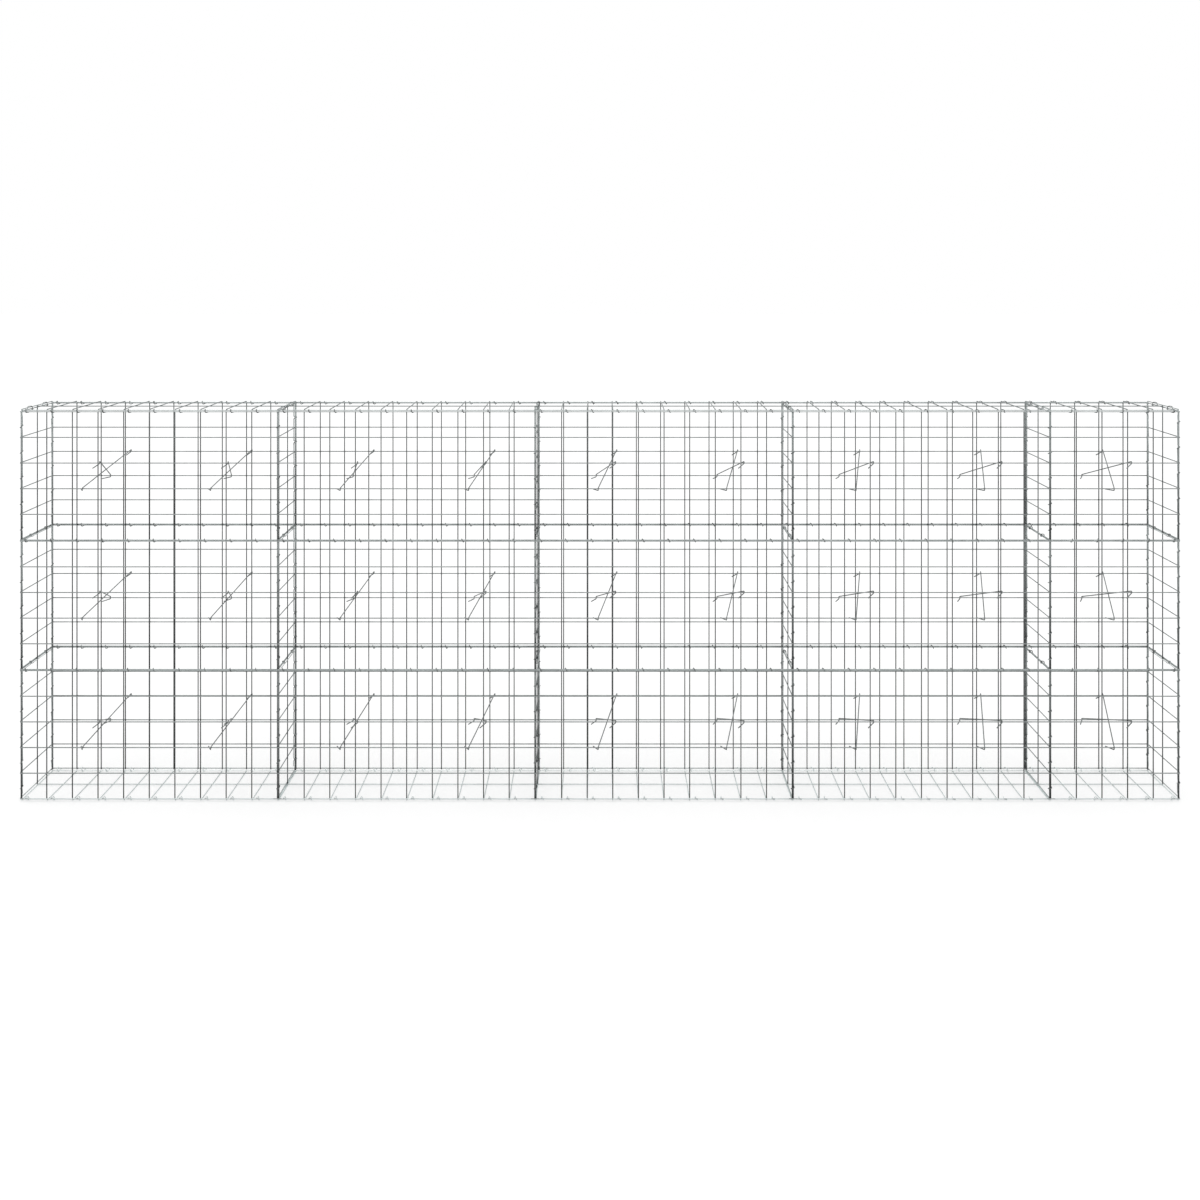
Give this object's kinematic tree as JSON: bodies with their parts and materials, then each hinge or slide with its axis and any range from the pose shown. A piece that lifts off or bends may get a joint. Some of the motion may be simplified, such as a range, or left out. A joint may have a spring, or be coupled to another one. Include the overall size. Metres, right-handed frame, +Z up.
{
  "type": "gabion wall",
  "caption": "Long empty gabion basket wall of galvanised welded mesh in bays, bound by spiral wires and braced by hooked cross ties.",
  "frame": {"origin": "middle of the wall's underside, where the base mesh stands on level ground", "axes": "+X along the wall towards the half bay, +Y from the front face to the back face, +Z up"},
  "size_m": [4.5366, 0.2452, 1.5333],
  "materials": {
    "mesh_wire": "hot-dip galvanised, satin grey",
    "spiral_wire": "hot-dip galvanised, satin grey",
    "tie_wire": "hot-dip galvanised, satin grey"
  },
  "bodies": {
    "root": {"back_mesh_bay_1": "mesh_wire", "back_mesh_bay_2": "mesh_wire", "back_mesh_bay_3": "mesh_wire", "back_mesh_bay_4": "mesh_wire", "back_mesh_bay_5": "mesh_wire", "base_mesh_bay_1": "mesh_wire", "base_mesh_bay_2": "mesh_wire", "base_mesh_bay_3": "mesh_wire", "base_mesh_bay_4": "mesh_wire", "base_mesh_bay_5": "mesh_wire", "base_spirals_back": "spiral_wire", "base_spirals_front": "spiral_wire", "front_mesh_bay_1": "mesh_wire", "front_mesh_bay_2": "mesh_wire", "front_mesh_bay_3": "mesh_wire", "front_mesh_bay_4": "mesh_wire", "front_mesh_bay_5": "mesh_wire", "left_end_mesh": "mesh_wire", "lid_mesh_bay_1": "mesh_wire", "lid_mesh_bay_2": "mesh_wire", "lid_mesh_bay_3": "mesh_wire", "lid_mesh_bay_4": "mesh_wire", "lid_mesh_bay_5": "mesh_wire", "lid_spirals_back": "spiral_wire", "lid_spirals_cross": "spiral_wire", "lid_spirals_front": "spiral_wire", "partition_mesh_1": "mesh_wire", "partition_mesh_2": "mesh_wire", "partition_mesh_3": "mesh_wire", "partition_mesh_4": "mesh_wire", "right_end_mesh": "mesh_wire", "row_spirals_ends": "spiral_wire", "ties_bay_1": "tie_wire", "ties_bay_2": "tie_wire", "ties_bay_3": "tie_wire", "ties_bay_4": "tie_wire", "ties_bay_5": "tie_wire", "upright_spirals_back": "spiral_wire", "upright_spirals_front": "spiral_wire"}
  },
  "joints": []
}
